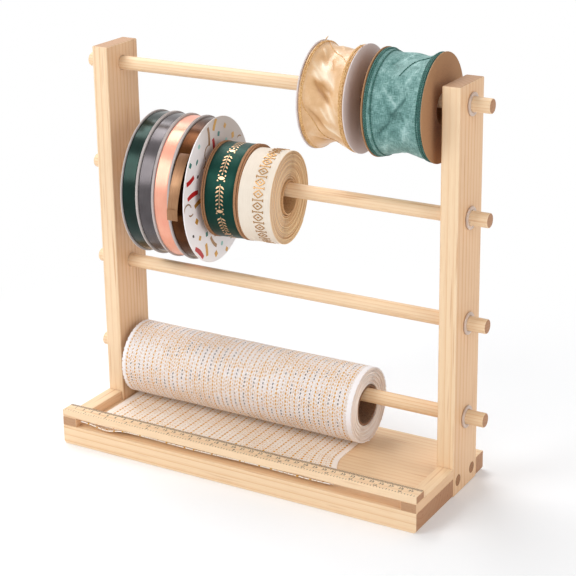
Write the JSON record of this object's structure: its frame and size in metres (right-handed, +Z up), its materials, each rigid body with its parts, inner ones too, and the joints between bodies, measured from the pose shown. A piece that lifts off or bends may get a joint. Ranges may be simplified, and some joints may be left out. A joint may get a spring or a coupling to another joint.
{
  "type": "ribbon spool holder",
  "caption": "Freestanding wooden ribbon rack: tray base with a measuring bar, two posts and loose rods carrying ribbon reels and a mesh roll.",
  "frame": {"origin": "middle of the base board's underside", "axes": "+X along the rods towards the washers, -Y to the front with the measuring bar, +Z up"},
  "size_m": [0.44, 0.1798, 0.4221],
  "materials": {
    "pine": "planed and lightly sanded pale pine, clear satin",
    "plug_wood": "sanded darker wood, end grain",
    "screw_steel": "zinc plated",
    "silicone": "milky translucent, pinkish grey",
    "kraft_card": "uncoated brown board",
    "grey_card": "uncoated grey board",
    "white_card": "white coated board",
    "printed_card": "white coated board printed with scattered bright flecks",
    "gold_satin": "creased champagne satin with stitched wired edges",
    "teal_sheer": "creased sheer teal weave with dark wired edges",
    "green_satin": "dark green satin",
    "grey_satin": "grey satin",
    "peach_satin": "peach satin",
    "brown_satin": "brown satin",
    "green_foil_satin": "dark green ribbon with a plain foil motif",
    "cream_foil_satin": "cream ribbon with a plain foil motif",
    "metallic_mesh": "open white weave with gold thread stripes"
  },
  "bodies": {
    "holder": {"base_board": "pine", "ruler_bar": "pine", "laid_mesh": "metallic_mesh", "right_side_rail": "pine", "right_post": "pine", "right_front_plug": "plug_wood", "right_front_screw": "screw_steel", "right_back_plug": "plug_wood", "right_back_screw": "screw_steel", "left_side_rail": "pine", "left_post": "pine", "left_front_plug": "plug_wood", "left_front_screw": "screw_steel", "left_back_plug": "plug_wood", "left_back_screw": "screw_steel"},
    "top_washer": {"top_rod_washer": "silicone"},
    "top_rod": {"top_rod": "pine"},
    "second_washer": {"second_rod_washer": "silicone"},
    "second_rod": {"second_rod": "pine"},
    "third_washer": {"third_rod_washer": "silicone"},
    "third_rod": {"third_rod": "pine"},
    "lowest_washer": {"lowest_rod_washer": "silicone"},
    "lowest_rod": {"lowest_rod": "pine"},
    "gold_reel": {"gold_left_card": "grey_card", "gold_right_card": "grey_card", "gold_core": "kraft_card", "gold_ribbon": "gold_satin"},
    "teal_reel": {"teal_left_card": "kraft_card", "teal_right_card": "kraft_card", "teal_core": "kraft_card", "teal_ribbon": "teal_sheer"},
    "green_reel": {"green_left_card": "white_card", "green_right_card": "white_card", "green_core": "kraft_card", "green_ribbon": "green_satin"},
    "grey_reel": {"grey_left_card": "white_card", "grey_right_card": "white_card", "grey_core": "kraft_card", "grey_ribbon": "grey_satin"},
    "peach_reel": {"peach_left_card": "white_card", "peach_right_card": "white_card", "peach_core": "kraft_card", "peach_ribbon": "peach_satin"},
    "brown_reel": {"brown_left_card": "white_card", "brown_right_card": "printed_card", "brown_core": "kraft_card", "brown_ribbon": "brown_satin"},
    "green_foil_roll": {"green_foil_left_disc": "kraft_card", "green_foil_core": "kraft_card", "green_foil_ribbon": "green_foil_satin", "green_foil_right_disc": "kraft_card"},
    "cream_foil_roll": {"cream_foil_core": "kraft_card", "cream_foil_ribbon": "cream_foil_satin"},
    "mesh_roll": {"mesh_core": "kraft_card", "mesh_winding": "metallic_mesh"}
  },
  "joints": [
    {"name": "top_rod_pull", "type": "slide", "parent": "holder", "child": "top_washer", "axis": [1, 0, 0], "range_m": [0, 0.26]},
    {"name": "top_rod_turn", "type": "hinge", "parent": "top_washer", "child": "top_rod", "pos_m": [0, 0.0315, 0.3783], "axis": [1, 0, 0], "continuous": true},
    {"name": "second_rod_pull", "type": "slide", "parent": "holder", "child": "second_washer", "axis": [1, 0, 0], "range_m": [0, 0.07]},
    {"name": "second_rod_turn", "type": "hinge", "parent": "second_washer", "child": "second_rod", "pos_m": [0, 0.0315, 0.27175], "axis": [1, 0, 0], "continuous": true},
    {"name": "third_rod_pull", "type": "slide", "parent": "holder", "child": "third_washer", "axis": [1, 0, 0], "range_m": [0, 0.4]},
    {"name": "third_rod_turn", "type": "hinge", "parent": "third_washer", "child": "third_rod", "pos_m": [0, 0.0315, 0.1688], "axis": [1, 0, 0], "continuous": true},
    {"name": "lowest_rod_pull", "type": "slide", "parent": "holder", "child": "lowest_washer", "axis": [1, 0, 0], "range_m": [0, 0.045]},
    {"name": "lowest_rod_turn", "type": "hinge", "parent": "lowest_washer", "child": "lowest_rod", "pos_m": [0, 0.0315, 0.074], "axis": [1, 0, 0], "continuous": true},
    {"name": "gold_reel_turn", "type": "hinge", "parent": "holder", "child": "gold_reel", "pos_m": [0.0695, 0.0315, 0.3709], "axis": [0.9986, 0.0523, 0], "continuous": true},
    {"name": "teal_reel_turn", "type": "hinge", "parent": "holder", "child": "teal_reel", "pos_m": [0.1415, 0.0315, 0.3709], "axis": [0.9986, 0.0523, 0], "continuous": true},
    {"name": "green_reel_turn", "type": "hinge", "parent": "holder", "child": "green_reel", "pos_m": [-0.1381, 0.0315, 0.26035], "axis": [0.9945, 0.1045, 0], "continuous": true},
    {"name": "grey_reel_turn", "type": "hinge", "parent": "holder", "child": "grey_reel", "pos_m": [-0.1194, 0.0315, 0.26035], "axis": [0.9945, 0.1045, 0], "continuous": true},
    {"name": "peach_reel_turn", "type": "hinge", "parent": "holder", "child": "peach_reel", "pos_m": [-0.1007, 0.0315, 0.26035], "axis": [0.9945, 0.1045, 0], "continuous": true},
    {"name": "brown_reel_turn", "type": "hinge", "parent": "holder", "child": "brown_reel", "pos_m": [-0.082, 0.0315, 0.26035], "axis": [0.9945, 0.1045, 0], "continuous": true},
    {"name": "green_foil_roll_turn", "type": "hinge", "parent": "holder", "child": "green_foil_roll", "pos_m": [-0.04605, 0.0315, 0.26335], "axis": [0.9945, 0.1045, 0], "continuous": true},
    {"name": "cream_foil_roll_turn", "type": "hinge", "parent": "holder", "child": "cream_foil_roll", "pos_m": [-0.00795, 0.0315, 0.26335], "axis": [0.9945, 0.1045, 0], "continuous": true},
    {"name": "mesh_roll_turn", "type": "hinge", "parent": "holder", "child": "mesh_roll", "pos_m": [0, 0.0315, 0.0628], "axis": [1, 0, 0], "continuous": true}
  ]
}
